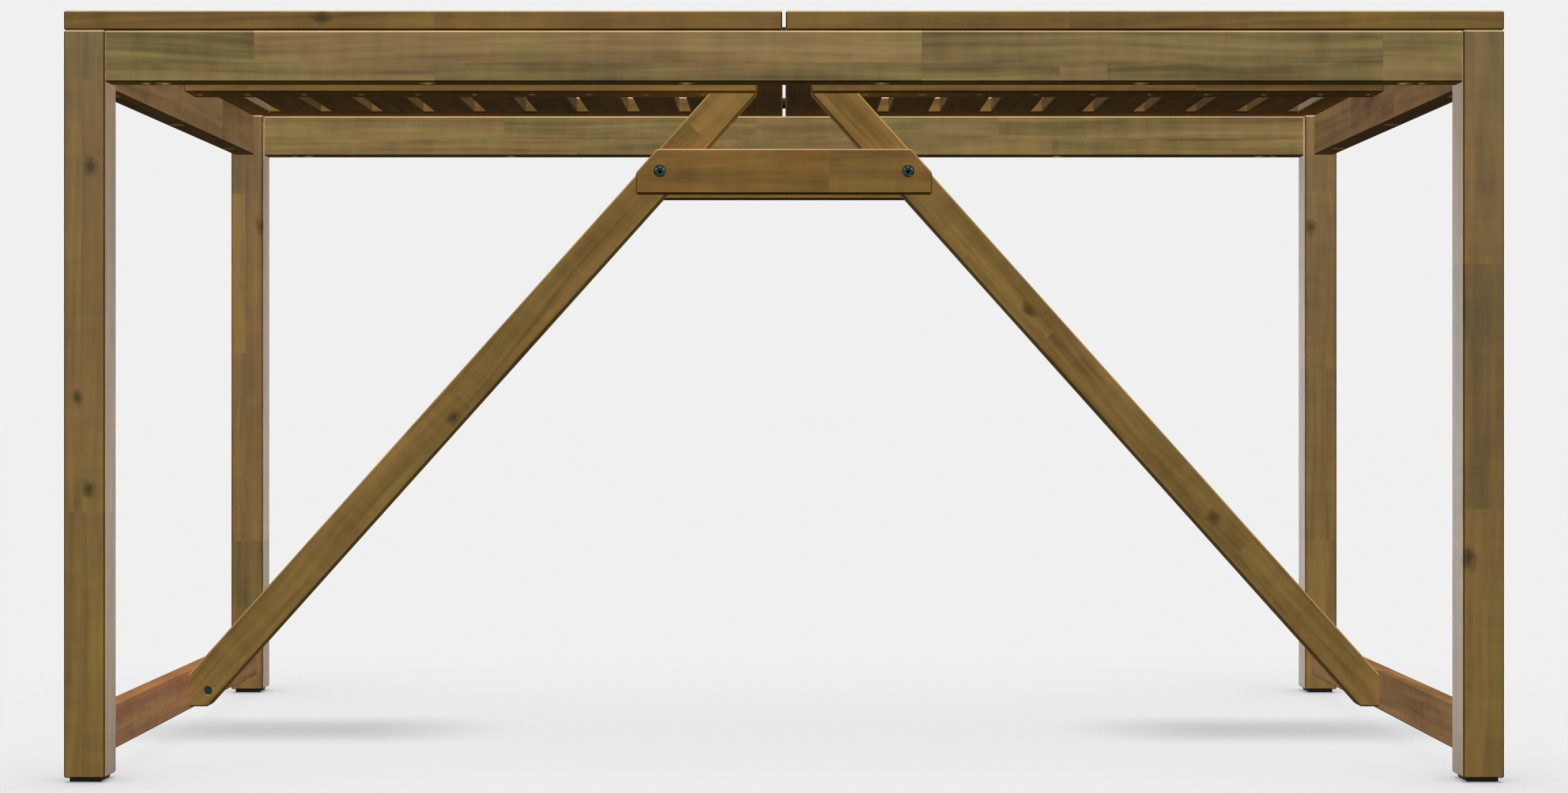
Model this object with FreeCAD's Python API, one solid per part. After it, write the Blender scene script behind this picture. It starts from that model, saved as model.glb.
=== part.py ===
import FreeCAD, Part
import math
import os

# Slatted garden dining table for self-assembly, all sizes in millimetres.
# X runs along the table, Y across it with the front at -Y, Z is up.
# The origin is on the floor under the middle of the table.
# Two glued end frames (legs, end apron, low stretcher) are bolted to two long aprons.
# The top is two framed slat panels. Two diagonal braces tie the panels' battens to the
# stretchers, and a pair of link boards joins the braces.

V = FreeCAD.Vector

# Driving dimensions.
table_length = 1400.0
table_depth = 750.0
table_height = 750.0
edge_bevel = 1.5

leg_width = 40.0
foot_height = 4.5
foot_width = 31.0
foot_rim_bevel = 1.0
pad_bevel = 0.8

top_thickness = 19.0
panel_gap = 3.4
edge_board_width = 69.5
inner_board_width = 51.0
outer_board_width = 55.5
slat_count = 9
slat_width = 50.0
slat_gap = 14.17

batten_width = 50.0
batten_thickness = 16.0
batten_inner_end = 30.5
batten_outer_end = 670.0

apron_height = 50.0
apron_thickness = 25.0
apron_recess = 3.5

stretcher_height = 43.0
stretcher_thickness = 21.5
stretcher_recess = 11.0
stretcher_bottom = 23.5

brace_width = 40.0
brace_thickness = 25.0
brace_angle = 48.15
brace_bottom = 27.2

link_length = 330.0
link_height = 50.0
link_thickness = 19.0
link_bottom = 601.0
rear_link_drop = 2.5
link_bolt_x = 138.4

# Fasteners.
bolt_radius = 3.0
bolt_hole_radius = 3.4
bolt_head_radius = 5.4
bolt_head_height = 3.0
bolt_key_width = 4.0
bolt_key_depth = 2.2
counterbore_radius = 7.0
counterbore_depth = 5.0
link_bolt_length = 45.0
sleeve_radius = 4.5
sleeve_hole_radius = 4.7
sleeve_length = 18.0
foot_bolt_length = 45.0
foot_bolt_bore_depth = 4.0
apron_bolt_length = 75.0
barrel_radius = 5.0
barrel_length = 16.0
foot_barrel_inset = 20.8
apron_barrel_inset = 35.6
screw_radius = 2.2
screw_head_radius = 4.1
screw_head_height = 2.6
screw_tip_radius = 0.4
screw_tip_length = 3.0
screw_slot_width = 1.1
screw_slot_length = 4.6
screw_slot_depth = 1.2
head_rim_bevel = 0.6
close_fit = 0.2
nut_slot_length = 8.0
nut_slot_width = 1.2
nut_slot_depth = 1.2
hole_end_room = 0.5
cut_overshoot = 1.0
sleeve_bore_end = 3.0
apron_pocket_radius = 7.5
apron_pocket_depth = 20.0
apron_screw_length = 42.0
brace_pocket_radius = 5.0
brace_pocket_bottom = 660.0
brace_pocket_top = 695.0
brace_screw_x = 60.5
brace_screw_length = 33.0
batten_pocket_depth = 3.4
batten_screw_length = 26.0
batten_last_screw_shift = 2.0
apron_screw_spots = (95.5, 349.0, 607.0)
end_apron_screw_spots = (-260.0, 0.0, 260.0)
dowel_radius = 4.0
slat_dowel_offset = 12.0
slat_dowel_in_slat = 16.0
slat_dowel_in_edge = 20.0
leg_dowel_depth = 15.0
apron_dowel_depth = 25.0
end_apron_dowel_radius = 5.0
end_apron_dowel_depth = 30.0
stretcher_dowel_in_leg = 20.0
stretcher_dowel_depth = 30.0
apron_dowel_offset = 15.0
end_apron_dowel_offset = 13.0
stretcher_dowel_offset = 10.0
inner_board_dowel_insets = (22.0, 8.0)
outer_board_dowel_shares = (0.25, 0.75)
spacer_radius = 6.5
spacer_inset = 86.0
spacer_peg_length = 15.0
nail_radius = 1.5
nail_head_radius = 3.2
nail_head_low = 0.8
nail_head_high = 1.6
nail_hollow_room = 0.6
nail_length = 20.0

# Places worked out from the driving dimensions.
half_length = table_length / 2
half_depth = table_depth / 2
top_under = table_height - top_thickness
top_middle = table_height - top_thickness / 2
leg_inner_x = half_length - leg_width
leg_inner_y = half_depth - leg_width
leg_centre_x = half_length - leg_width / 2
leg_centre_y = half_depth - leg_width / 2
apron_under = top_under - apron_height
apron_middle = top_under - apron_height / 2
long_apron_y = half_depth - apron_recess - apron_thickness / 2
end_apron_x = half_length - apron_recess - apron_thickness / 2
stretcher_middle = stretcher_bottom + stretcher_height / 2
stretcher_outer_x = half_length - stretcher_recess
stretcher_inner_x = stretcher_outer_x - stretcher_thickness
stretcher_centre_x = stretcher_outer_x - stretcher_thickness / 2
edge_inner_y = half_depth - edge_board_width
panel_start = panel_gap / 2
inner_board_end = panel_start + inner_board_width
outer_board_start = half_length - outer_board_width
batten_under = top_under - batten_thickness
link_face_y = brace_thickness / 2 + link_thickness
link_bolt_z = link_bottom + link_height / 2
brace_run = 1 / math.tan(math.radians(brace_angle))
brace_cut_width = brace_width / math.sin(math.radians(brace_angle))
slat_centres = [inner_board_end + slat_gap + slat_width / 2 + i * (slat_width + slat_gap)
                for i in range(slat_count)]
sides = (("left", -1), ("right", 1))
faces = (("front", -1), ("rear", 1))

os.makedirs("parts", exist_ok=True)


def save(name, solids):
    """Write one node: a single solid, or a group of separate ones."""
    solids = solids if isinstance(solids, list) else [solids]
    shape = solids[0] if len(solids) == 1 else Part.makeCompound(solids)
    if not shape.isValid():
        raise ValueError(name + " is not a valid shape")
    shape.exportStep("parts/" + name + ".step")
    print(name, len(solids), "solid(s)", round(shape.Volume / 1000, 1), "cm3")


def block(x, y, z):
    """A box given by its low and high limits on each axis, in either order."""
    low = V(min(x), min(y), min(z))
    size = (max(x) - low.x, max(y) - low.y, max(z) - low.z)
    return Part.makeBox(*size, low)


def lies_on(edge, square):
    """True if an edge lies wholly in one of the given faces, such as ("y", 12.5)."""
    ends = [vertex.Point for vertex in edge.Vertexes]
    return any(all(abs(getattr(p, axis) - at) < 0.01 for p in ends) for axis, at in square)


def bevel(shape, square=(), size=edge_bevel):
    """Bevel every edge except those in the faces that butt square against a neighbour."""
    edges = [edge for edge in shape.Edges if not lies_on(edge, square)]
    return shape.makeChamfer(size, edges)


def rod(radius, start, end):
    """A cylinder from one point to another."""
    start, end = V(*start), V(*end)
    along = end - start
    return Part.makeCylinder(radius, along.Length, start, along)


def turned(shape, degrees):
    """A copy turned about the table's vertical centre line."""
    copy = shape.copy()
    copy.rotate(V(0, 0, 0), V(0, 0, 1), degrees)
    return copy


def hex_bolt(start, along, length):
    """Flat-headed furniture bolt: the head's seat is at start, the shank runs along."""
    along = V(*along)
    seat = V(*start)
    outer = seat - along * bolt_head_height
    head = Part.makeCylinder(bolt_head_radius, bolt_head_height, outer, along)
    rim = [edge for edge in head.Edges
           if edge.Closed and abs((edge.CenterOfMass - outer).Length) < 0.01]
    head = head.makeChamfer(head_rim_bevel, rim)
    bolt = head.fuse(Part.makeCylinder(bolt_radius, length, seat, along)).removeSplitter()
    return bolt.cut(hex_key_hole(outer, along))


def hex_key_hole(outer, along):
    """Six-sided recess for the assembly key, from a head's outer face."""
    across = V(0, 0, 1)
    beside = along.cross(across)
    reach = bolt_key_width / math.sqrt(3)
    corners = []
    for i in range(7):
        turn = math.radians(60 * i)
        corners.append(outer + across * (reach * math.cos(turn)) + beside * (reach * math.sin(turn)))
    hole = Part.Face(Part.makePolygon(corners))
    return hole.extrude(along * bolt_key_depth)


def screw_hole(x, y, seat, length):
    """The hole a pan screw's shank fills."""
    tip_start = seat + length - screw_tip_length
    shank = rod(screw_radius, (x, y, seat), (x, y, tip_start))
    tip = Part.makeCone(screw_radius, screw_tip_radius, screw_tip_length, V(x, y, tip_start),
                        V(0, 0, 1))
    return shank.fuse(tip)


def pan_screw(x, y, seat, length):
    """Vertical screw whose head hangs below its seat height and whose tip points up."""
    bottom = seat - screw_head_height
    head = rod(screw_head_radius, (x, y, bottom), (x, y, seat))
    body = head.fuse(screw_hole(x, y, seat, length)).removeSplitter()
    for long_x, long_y in ((screw_slot_length, screw_slot_width),
                           (screw_slot_width, screw_slot_length)):
        body = body.cut(block((x - long_x / 2, x + long_x / 2), (y - long_y / 2, y + long_y / 2),
                              (bottom - cut_overshoot, bottom + screw_slot_depth)))
    return body


# Fastener positions that several pieces share.
apron_seat = apron_under + apron_pocket_depth
batten_seat = batten_under + batten_pocket_depth
batten_spots = [(batten_inner_end + inner_board_end) / 2, *slat_centres,
                (outer_board_start + batten_outer_end) / 2 + batten_last_screw_shift]
apron_barrel_x = leg_inner_x - apron_barrel_inset
foot_barrel_x = stretcher_inner_x - foot_barrel_inset
leg_bolt_seat = half_length - counterbore_depth
foot_bolt_seat = stretcher_outer_x - foot_bolt_bore_depth
link_seat = link_face_y - counterbore_depth
apron_dowel_heights = (apron_middle - apron_dowel_offset, apron_middle + apron_dowel_offset)
end_apron_dowel_heights = (apron_middle - end_apron_dowel_offset,
                           apron_middle + end_apron_dowel_offset)
stretcher_dowel_heights = (stretcher_middle - stretcher_dowel_offset,
                           stretcher_middle + stretcher_dowel_offset)


def end_board_dowel_spots(start, width):
    """Dowel places across an end board; the inner board's clear the spacer pegs."""
    if start == panel_start:
        return [start + width - inset for inset in inner_board_dowel_insets]
    return [start + width * share for share in outer_board_dowel_shares]


# Legs and feet.
def make_leg(sx, sy):
    leg = block((sx * leg_inner_x, sx * half_length), (sy * leg_inner_y, sy * half_depth),
                (foot_height, top_under))
    leg = bevel(leg, square=(("z", foot_height),))
    rim = [edge for edge in leg.Edges if lies_on(edge, (("z", foot_height),))]
    leg = leg.makeChamfer(foot_rim_bevel, rim)
    bolt_y = sy * long_apron_y
    cuts = [rod(bolt_hole_radius, (sx * leg_inner_x, bolt_y, apron_middle),
                (sx * half_length, bolt_y, apron_middle)),
            rod(counterbore_radius, (sx * leg_bolt_seat, bolt_y, apron_middle),
                (sx * (half_length + cut_overshoot), bolt_y, apron_middle))]
    cuts += frame_dowels(sx, sy)
    cuts.append(nail(sx, sy))
    return leg.cut(cuts)


def make_foot(sx, sy):
    reach = foot_width / 2
    x, y = sx * leg_centre_x, sy * leg_centre_y
    pad = block((x - reach, x + reach), (y - reach, y + reach), (0, foot_height))
    pad = bevel(pad, square=(("z", foot_height),), size=pad_bevel)
    hollow = rod(nail_head_radius + nail_hollow_room, (x, y, -cut_overshoot),
                 (x, y, nail_head_high))
    return pad.cut([hollow, nail(sx, sy)])


def nail(sx, sy):
    x, y = sx * leg_centre_x, sy * leg_centre_y
    head = rod(nail_head_radius, (x, y, nail_head_low), (x, y, nail_head_high))
    shank = rod(nail_radius, (x, y, nail_head_high), (x, y, nail_head_high + nail_length))
    return head.fuse(shank).removeSplitter()


# Dowels that join one leg to its two aprons and its stretcher.
def frame_dowels(sx, sy):
    pins = []
    for z in apron_dowel_heights:
        y = sy * long_apron_y
        pins.append(rod(dowel_radius, (sx * (leg_inner_x - apron_dowel_depth), y, z),
                        (sx * (leg_inner_x + leg_dowel_depth), y, z)))
    for z in end_apron_dowel_heights:
        x = sx * end_apron_x
        pins.append(rod(end_apron_dowel_radius, (x, sy * (leg_inner_y - end_apron_dowel_depth), z),
                        (x, sy * (leg_inner_y + end_apron_dowel_depth), z)))
    for z in stretcher_dowel_heights:
        x = sx * stretcher_centre_x
        pins.append(rod(dowel_radius, (x, sy * (leg_inner_y - stretcher_dowel_depth), z),
                        (x, sy * (leg_inner_y + stretcher_dowel_in_leg), z)))
    return pins


# Bolts from the legs' outer faces into barrel nuts near the long aprons' ends.
def apron_bolt(sx, sy):
    return hex_bolt((sx * leg_bolt_seat, sy * long_apron_y, apron_middle), (-sx, 0, 0),
                    apron_bolt_length)


def apron_barrel(sx, sy):
    x, y = sx * apron_barrel_x, sy * long_apron_y
    low, high = apron_middle - barrel_length / 2, apron_middle + barrel_length / 2
    nut = rod(barrel_radius, (x, y, low), (x, y, high))
    bore = rod(bolt_radius, (x - 2 * barrel_radius, y, apron_middle),
               (x + 2 * barrel_radius, y, apron_middle))
    slot = block((x - nut_slot_length / 2, x + nut_slot_length / 2),
                 (y - nut_slot_width / 2, y + nut_slot_width / 2),
                 (low - cut_overshoot, low + nut_slot_depth))
    return nut.cut([bore, slot])


def make_long_apron(sy):
    y = sy * long_apron_y
    reach = apron_thickness / 2
    apron = block((-leg_inner_x, leg_inner_x), (y - reach, y + reach), (apron_under, top_under))
    apron = bevel(apron, square=(("x", -leg_inner_x), ("x", leg_inner_x)))
    cuts = []
    for _, sx in sides:
        barrel_x = sx * apron_barrel_x
        cuts += frame_dowels(sx, sy)[:2]
        cuts.append(rod(bolt_hole_radius, (sx * leg_inner_x, y, apron_middle),
                        (sx * (leg_bolt_seat - apron_bolt_length - hole_end_room), y, apron_middle)))
        cuts.append(rod(barrel_radius + close_fit, (barrel_x, y, apron_under - cut_overshoot),
                        (barrel_x, y, apron_middle + barrel_length / 2)))
        for spot in apron_screw_spots:
            cuts.append(rod(apron_pocket_radius, (sx * spot, y, apron_under - cut_overshoot),
                            (sx * spot, y, apron_seat)))
            cuts.append(screw_hole(sx * spot, y, apron_seat, apron_screw_length))
    return apron.cut(cuts)


def make_end_apron(sx):
    x = sx * end_apron_x
    reach = apron_thickness / 2
    apron = block((x - reach, x + reach), (-leg_inner_y, leg_inner_y), (apron_under, top_under))
    apron = bevel(apron, square=(("y", -leg_inner_y), ("y", leg_inner_y)))
    cuts = []
    for spot in end_apron_screw_spots:
        cuts.append(rod(apron_pocket_radius, (x, spot, apron_under - cut_overshoot),
                        (x, spot, apron_seat)))
        cuts.append(screw_hole(x, spot, apron_seat, apron_screw_length))
    for _, sy in faces:
        cuts += frame_dowels(sx, sy)[2:4]
    return apron.cut(cuts)


def make_stretcher(sx):
    board = block((sx * stretcher_inner_x, sx * stretcher_outer_x), (-leg_inner_y, leg_inner_y),
                  (stretcher_bottom, stretcher_bottom + stretcher_height))
    board = bevel(board, square=(("y", -leg_inner_y), ("y", leg_inner_y)))
    cuts = [rod(bolt_hole_radius, (sx * stretcher_inner_x, 0, stretcher_middle),
                (sx * stretcher_outer_x, 0, stretcher_middle)),
            rod(counterbore_radius, (sx * foot_bolt_seat, 0, stretcher_middle),
                (sx * (stretcher_outer_x + cut_overshoot), 0, stretcher_middle))]
    for _, sy in faces:
        cuts += frame_dowels(sx, sy)[4:]
    return board.cut(cuts)


# Diagonal brace, drawn for the right side; the left one is the same part turned half round.
def make_brace():
    reach = brace_thickness / 2
    far_foot_x = batten_inner_end + (batten_under - brace_bottom) * brace_run
    shoulder_z = batten_under - (stretcher_inner_x - batten_inner_end - brace_cut_width) / brace_run
    outline = [(batten_inner_end, batten_under), (batten_inner_end + brace_cut_width, batten_under),
               (stretcher_inner_x, shoulder_z), (stretcher_inner_x, brace_bottom),
               (far_foot_x, brace_bottom)]
    points = [V(x, -reach, z) for x, z in outline]
    board = Part.Face(Part.makePolygon(points + points[:1])).extrude(V(0, brace_thickness, 0))
    board = bevel(board, square=(("z", batten_under), ("x", stretcher_inner_x)))
    bolt_end = foot_bolt_seat - foot_bolt_length - hole_end_room
    cuts = [rod(sleeve_hole_radius, (link_bolt_x, -reach, link_bolt_z),
                (link_bolt_x, reach, link_bolt_z)),
            rod(bolt_hole_radius, (stretcher_inner_x, 0, stretcher_middle),
                (bolt_end, 0, stretcher_middle)),
            rod(barrel_radius + close_fit, (foot_barrel_x, reach + cut_overshoot, stretcher_middle),
                (foot_barrel_x, -barrel_length / 2, stretcher_middle)),
            rod(brace_pocket_radius, (brace_screw_x, 0, brace_pocket_bottom),
                (brace_screw_x, 0, brace_pocket_top)),
            screw_hole(brace_screw_x, 0, brace_pocket_top, brace_screw_length)]
    return board.cut(cuts)


def foot_bolt():
    return hex_bolt((foot_bolt_seat, 0, stretcher_middle), (-1, 0, 0), foot_bolt_length)


def foot_barrel():
    x, z = foot_barrel_x, stretcher_middle
    reach = barrel_length / 2
    nut = rod(barrel_radius, (x, -reach, z), (x, reach, z))
    bore = rod(bolt_radius, (x - 2 * barrel_radius, 0, z), (x + 2 * barrel_radius, 0, z))
    slot = block((x - nut_slot_length / 2, x + nut_slot_length / 2),
                 (reach - nut_slot_depth, reach + cut_overshoot),
                 (z - nut_slot_width / 2, z + nut_slot_width / 2))
    return nut.cut([bore, slot])


# Link boards clamp the two braces between them, their top corners cut along the braces.
def make_link(sy):
    drop = rear_link_drop if sy > 0 else 0.0
    low, high = link_bottom - drop, link_bottom + link_height - drop
    end = link_length / 2
    line_x = batten_inner_end + brace_cut_width
    clip_x = line_x + (batten_under - link_bottom - link_height) * brace_run
    clip_z = high - (end - clip_x) / brace_run
    outline = [(-end, low), (end, low), (end, clip_z), (clip_x, high), (-clip_x, high),
               (-end, clip_z)]
    inner_y = sy * brace_thickness / 2
    points = [V(x, inner_y, z) for x, z in outline]
    board = Part.Face(Part.makePolygon(points + points[:1])).extrude(V(0, sy * link_thickness, 0))
    board = bevel(board)
    hole = sleeve_hole_radius if sy > 0 else bolt_hole_radius
    cuts = []
    for _, sx in sides:
        x = sx * link_bolt_x
        cuts.append(rod(hole, (x, inner_y, link_bolt_z), (x, sy * link_face_y, link_bolt_z)))
        cuts.append(rod(counterbore_radius, (x, sy * link_seat, link_bolt_z),
                        (x, sy * (link_face_y + cut_overshoot), link_bolt_z)))
    return board.cut(cuts)


def link_bolt(sx):
    return hex_bolt((sx * link_bolt_x, -link_seat, link_bolt_z), (0, 1, 0), link_bolt_length)


def link_cap_nut(sx):
    """Sleeve nut: a flat head with a bored neck that takes the bolt's end."""
    x, z = sx * link_bolt_x, link_bolt_z
    outer = link_seat + bolt_head_height
    head = rod(bolt_head_radius, (x, link_seat, z), (x, outer, z))
    rim = [edge for edge in head.Edges if edge.Closed and abs(edge.CenterOfMass.y - outer) < 0.01]
    head = head.makeChamfer(head_rim_bevel, rim)
    neck = rod(sleeve_radius, (x, link_seat - sleeve_length, z), (x, link_seat, z))
    nut = head.fuse(neck).removeSplitter()
    nut = nut.cut(rod(bolt_radius, (x, link_seat - sleeve_length, z),
                      (x, link_seat - sleeve_bore_end, z)))
    return nut.cut(hex_key_hole(V(x, outer, z), V(0, -1, 0)))


# The two panels of the top.
def slat_dowel(x, sy):
    return rod(dowel_radius, (x, sy * (edge_inner_y - slat_dowel_in_slat), top_middle),
               (x, sy * (edge_inner_y + slat_dowel_in_edge), top_middle))


def panel_dowel_spots(sx):
    spots = []
    for centre in slat_centres:
        spots += [centre - slat_dowel_offset, centre + slat_dowel_offset]
    spots += end_board_dowel_spots(panel_start, inner_board_width)
    spots += end_board_dowel_spots(outer_board_start, outer_board_width)
    return [sx * spot for spot in spots]


def make_edge_board(sx, sy):
    """Outer frame board along one long side; its slat side is bevelled between the end boards."""
    board = block((sx * panel_start, sx * half_length), (sy * edge_inner_y, sy * half_depth),
                  (top_under, table_height))
    board = bevel(board, square=(("y", sy * edge_inner_y),))
    cuts = [slat_dowel(x, sy) for x in panel_dowel_spots(sx)]
    for z, away in ((top_under, 1), (table_height, -1)):
        corner = [V(sx * inner_board_end, sy * edge_inner_y, z),
                  V(sx * inner_board_end, sy * (edge_inner_y + edge_bevel), z),
                  V(sx * inner_board_end, sy * edge_inner_y, z + away * edge_bevel)]
        wedge = Part.Face(Part.makePolygon(corner + corner[:1]))
        cuts.append(wedge.extrude(V(sx * (outer_board_start - inner_board_end), 0, 0)))
    for spot in apron_screw_spots:
        cuts.append(screw_hole(sx * spot, sy * long_apron_y, apron_seat, apron_screw_length))
    return board.cut(cuts)


def make_end_board(sx, start, width):
    board = block((sx * start, sx * (start + width)), (-edge_inner_y, edge_inner_y),
                  (top_under, table_height))
    board = bevel(board, square=(("y", -edge_inner_y), ("y", edge_inner_y)))
    cuts = []
    for _, sy in faces:
        cuts += [slat_dowel(sx * x, sy) for x in end_board_dowel_spots(start, width)]
        if start == panel_start:
            cuts.append(spacer(sy))
    spot = batten_spots[0] if start == panel_start else batten_spots[-1]
    cuts.append(screw_hole(sx * spot, 0, batten_seat, batten_screw_length))
    if start == outer_board_start:
        cuts += [screw_hole(sx * end_apron_x, y, apron_seat, apron_screw_length)
                 for y in end_apron_screw_spots]
    return board.cut(cuts)


def make_slat(sx, centre):
    x = sx * centre
    slat = block((x - slat_width / 2, x + slat_width / 2), (-edge_inner_y, edge_inner_y),
                 (top_under, table_height))
    slat = bevel(slat)
    cuts = [screw_hole(x, 0, batten_seat, batten_screw_length)]
    for _, sy in faces:
        cuts += [slat_dowel(x - slat_dowel_offset, sy), slat_dowel(x + slat_dowel_offset, sy)]
    return slat.cut(cuts)


def make_batten(sx):
    board = block((sx * batten_inner_end, sx * batten_outer_end),
                  (-batten_width / 2, batten_width / 2), (batten_under, top_under))
    board = bevel(board, square=(("z", top_under),))
    cuts = [screw_hole(sx * brace_screw_x, 0, brace_pocket_top, brace_screw_length)]
    for spot in batten_spots:
        cuts.append(rod(screw_head_radius + close_fit, (sx * spot, 0, batten_under - cut_overshoot),
                        (sx * spot, 0, batten_seat)))
        cuts.append(screw_hole(sx * spot, 0, batten_seat, batten_screw_length))
    return board.cut(cuts)


def spacer(sy):
    """Plastic spacer between the panels: a collar in the slit with a peg into each inner board."""
    y = sy * (half_depth - spacer_inset)
    collar = rod(spacer_radius, (-panel_start, y, top_middle), (panel_start, y, top_middle))
    reach = panel_start + spacer_peg_length
    peg = rod(dowel_radius, (-reach, y, top_middle), (reach, y, top_middle))
    return collar.fuse(peg).removeSplitter()


# Write every node.
for side, sx in sides:
    for face, sy in faces:
        save("leg_" + face + "_" + side, make_leg(sx, sy))
        save("foot_pad_" + face + "_" + side, make_foot(sx, sy))
        save("top_" + side + "_edge_" + face, make_edge_board(sx, sy))
    save("apron_" + side, make_end_apron(sx))
    save("stretcher_" + side, make_stretcher(sx))
    save("top_" + side + "_end_inner", make_end_board(sx, panel_start, inner_board_width))
    save("top_" + side + "_end_outer", make_end_board(sx, outer_board_start, outer_board_width))
    save("batten_" + side, make_batten(sx))
    for number, centre in enumerate(slat_centres, 1):
        save("slat_" + side + "_" + str(number), make_slat(sx, centre))
    save("slat_dowels_" + side,
         [slat_dowel(x, sy) for x in panel_dowel_spots(sx) for _, sy in faces])

for face, sy in faces:
    save("apron_" + face, make_long_apron(sy))
    save("link_board_" + face, make_link(sy))

brace = make_brace()
save("brace_right", brace)
save("brace_left", turned(brace, 180))

corners = [(sx, sy) for _, sx in sides for _, sy in faces]
save("foot_nails", [nail(sx, sy) for sx, sy in corners])
save("frame_dowels", [pin for sx, sy in corners for pin in frame_dowels(sx, sy)])
save("apron_bolts", [apron_bolt(sx, sy) for sx, sy in corners])
save("apron_barrel_nuts", [apron_barrel(sx, sy) for sx, sy in corners])
save("brace_foot_bolts", [foot_bolt(), turned(foot_bolt(), 180)])
save("brace_foot_barrel_nuts", [foot_barrel(), turned(foot_barrel(), 180)])
save("brace_top_screws", [pan_screw(sx * brace_screw_x, 0, brace_pocket_top, brace_screw_length)
                          for _, sx in sides])
save("link_bolts", [link_bolt(sx) for _, sx in sides])
save("link_cap_nuts", [link_cap_nut(sx) for _, sx in sides])
save("batten_screws", [pan_screw(sx * spot, 0, batten_seat, batten_screw_length)
                       for _, sx in sides for spot in batten_spots])
save("top_screws",
     [pan_screw(sx * spot, sy * long_apron_y, apron_seat, apron_screw_length)
      for sx, sy in corners for spot in apron_screw_spots]
     + [pan_screw(sx * end_apron_x, y, apron_seat, apron_screw_length)
        for _, sx in sides for y in end_apron_screw_spots])
save("top_spacers", [spacer(sy) for _, sy in faces])
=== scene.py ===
import math
import random

import bpy
import numpy as np
from mathutils import Euler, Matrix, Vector


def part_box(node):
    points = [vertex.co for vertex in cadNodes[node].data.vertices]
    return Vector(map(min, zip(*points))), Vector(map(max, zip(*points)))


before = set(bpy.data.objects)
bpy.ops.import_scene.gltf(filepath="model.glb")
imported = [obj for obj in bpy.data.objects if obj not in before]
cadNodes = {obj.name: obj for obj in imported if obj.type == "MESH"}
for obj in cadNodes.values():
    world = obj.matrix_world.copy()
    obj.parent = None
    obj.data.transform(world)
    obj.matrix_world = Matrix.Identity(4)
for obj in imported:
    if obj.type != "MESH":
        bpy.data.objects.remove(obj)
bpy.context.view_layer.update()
scene = bpy.context.scene
print("frame loaded:", len(cadNodes), "pieces")

cameraView = {
    "place": (0, -2.7155, 0.375),   # metres, level with the middle of the legs
    "turn": (90, 0, 0),             # degrees, looking along +Y
    "lens": 55.31,                  # mm
    "sensor": 36,                   # mm
}


def makeCamera(values):
    data = bpy.data.cameras.new("mainCamera")
    data.lens = values["lens"]
    data.sensor_width = values["sensor"]
    camera = bpy.data.objects.new("mainCamera", data)
    camera.location = values["place"]
    camera.rotation_euler = [math.radians(turn) for turn in values["turn"]]
    scene.collection.objects.link(camera)
    scene.camera = camera


makeCamera(cameraView)
print("camera placed")


# small helpers that build node trees; a value may be a number, a tuple or another node's socket
def addNode(tree, kind, ins=(), **settings):
    node = tree.nodes.new("ShaderNode" + kind)
    for name, value in settings.items():
        setattr(node, name, value)
    pairs = ins.items() if isinstance(ins, dict) else enumerate(ins)
    for key, value in pairs:
        if isinstance(value, bpy.types.NodeSocket):
            tree.links.new(value, node.inputs[key])
        elif value is not None:
            node.inputs[key].default_value = value
    return node


def calc(tree, operation, first, second=None, third=None, clamp=False):
    ins = (first, second, third)
    return addNode(tree, "Math", ins, operation=operation, use_clamp=clamp).outputs[0]


def calcVector(tree, operation, first, second=None):
    node = addNode(tree, "VectorMath", (first, second), operation=operation)
    return node.outputs["Value" if operation == "LENGTH" else "Vector"]


def joinVector(tree, x, y, z):
    return addNode(tree, "CombineXYZ", (x, y, z)).outputs[0]


def splitVector(tree, vector):
    return addNode(tree, "SeparateXYZ", (vector,)).outputs


def mixColor(tree, amount, first, second, how="MIX"):
    ins = {0: amount, 6: first, 7: second}
    return addNode(tree, "Mix", ins, data_type="RGBA", blend_type=how).outputs[2]


def tinted(tree, amount, color, tint):
    # the colour, multiplied by the tint where amount is 1
    return mixColor(tree, amount, color, mixColor(tree, 1.0, color, tint, "MULTIPLY"))


def remap(tree, value, fromLow, fromHigh, toLow=0.0, toHigh=1.0, soft=False):
    node = addNode(tree, "MapRange", (value, fromLow, fromHigh, toLow, toHigh),
                   interpolation_type="SMOOTHSTEP" if soft else "LINEAR")
    return node.outputs[0]


def noise(tree, place, scale, detail=2.0, rough=0.5, size=(1, 1, 1)):
    stretched = calcVector(tree, "MULTIPLY", place, size)
    node = addNode(tree, "TexNoise", {
        "Vector": stretched, "Scale": scale, "Detail": detail, "Roughness": rough})
    return node.outputs["Fac"]


def spreadNoise(tree, place, size, detail, rough, low, high):
    # noise whose middle values, from low to high, are spread over 0 to 1
    return remap(tree, noise(tree, place, 1.0, detail, rough, size), low, high)


def swing(tree, value, amount, base, clamp=False):
    # base plus or minus half of amount, as value goes from 0 to 1
    return calc(tree, "MULTIPLY_ADD", calc(tree, "SUBTRACT", value, 0.5), amount, base, clamp)


def newGroup(name, ins, outs):
    group = bpy.data.node_groups.new(name, "ShaderNodeTree")
    for label, kind, start in ins:
        kind = "NodeSocket" + kind
        socket = group.interface.new_socket(label, in_out="INPUT", socket_type=kind)
        if start is not None:
            socket.default_value = start
    for label, kind in outs:
        kind = "NodeSocket" + kind
        group.interface.new_socket(label, in_out="OUTPUT", socket_type=kind)
    given = group.nodes.new("NodeGroupInput").outputs
    put = group.nodes.new("NodeGroupOutput").inputs
    return group, given, put


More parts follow.
